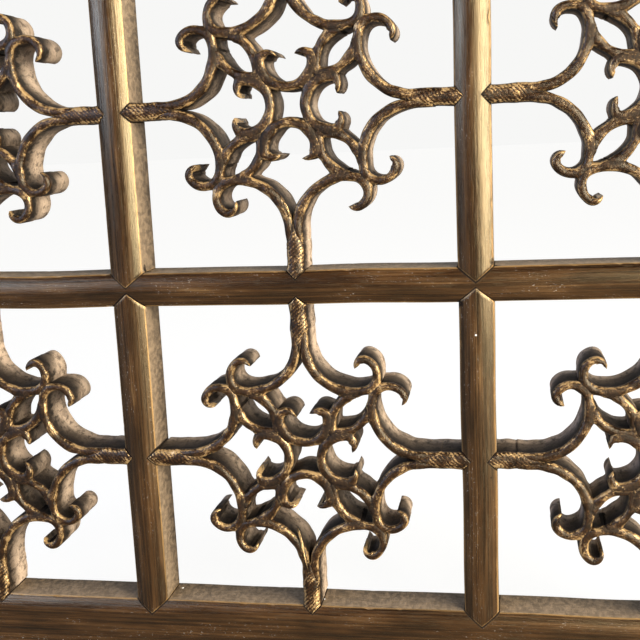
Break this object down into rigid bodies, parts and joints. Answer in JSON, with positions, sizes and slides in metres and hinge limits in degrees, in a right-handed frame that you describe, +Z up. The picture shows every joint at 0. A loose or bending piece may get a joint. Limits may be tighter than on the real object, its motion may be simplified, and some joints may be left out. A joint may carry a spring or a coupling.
{
  "type": "mashrabiya screen panel",
  "caption": "Openwork lattice screen panel: round-faced bars in a mitred frame, each square cell filled with a fret-cut scroll rosette on four stems.",
  "frame": {"origin": "middle of the underside of the bottom rail, halfway through its thickness, where the panel sits on the sill of its opening", "axes": "+Z up the screen, +X along the bottom rail to the right as seen from the front, +Y from the front towards the back"},
  "size_m": [0.5164, 0.0248, 0.3591],
  "materials": {
    "dark_wood": "dark brown stained hardwood, satin wax, bronze rubbed through along the rounded faces and arrises",
    "bronzed_wood": "dark brown stained hardwood, rasped faces rubbed with bronze, bright at the edges and dark in the hollows"
  },
  "bodies": {
    "root": {"bottom_rail": "dark_wood", "top_rail": "dark_wood", "left_stile": "dark_wood", "right_stile": "dark_wood", "transom": "dark_wood", "lower_left_mullion": "dark_wood", "lower_right_mullion": "dark_wood", "upper_left_mullion": "dark_wood", "upper_right_mullion": "dark_wood", "lower_left_rosette": "bronzed_wood", "lower_middle_rosette": "bronzed_wood", "lower_right_rosette": "bronzed_wood", "upper_left_rosette": "bronzed_wood", "upper_middle_rosette": "bronzed_wood", "upper_right_rosette": "bronzed_wood"}
  },
  "joints": []
}
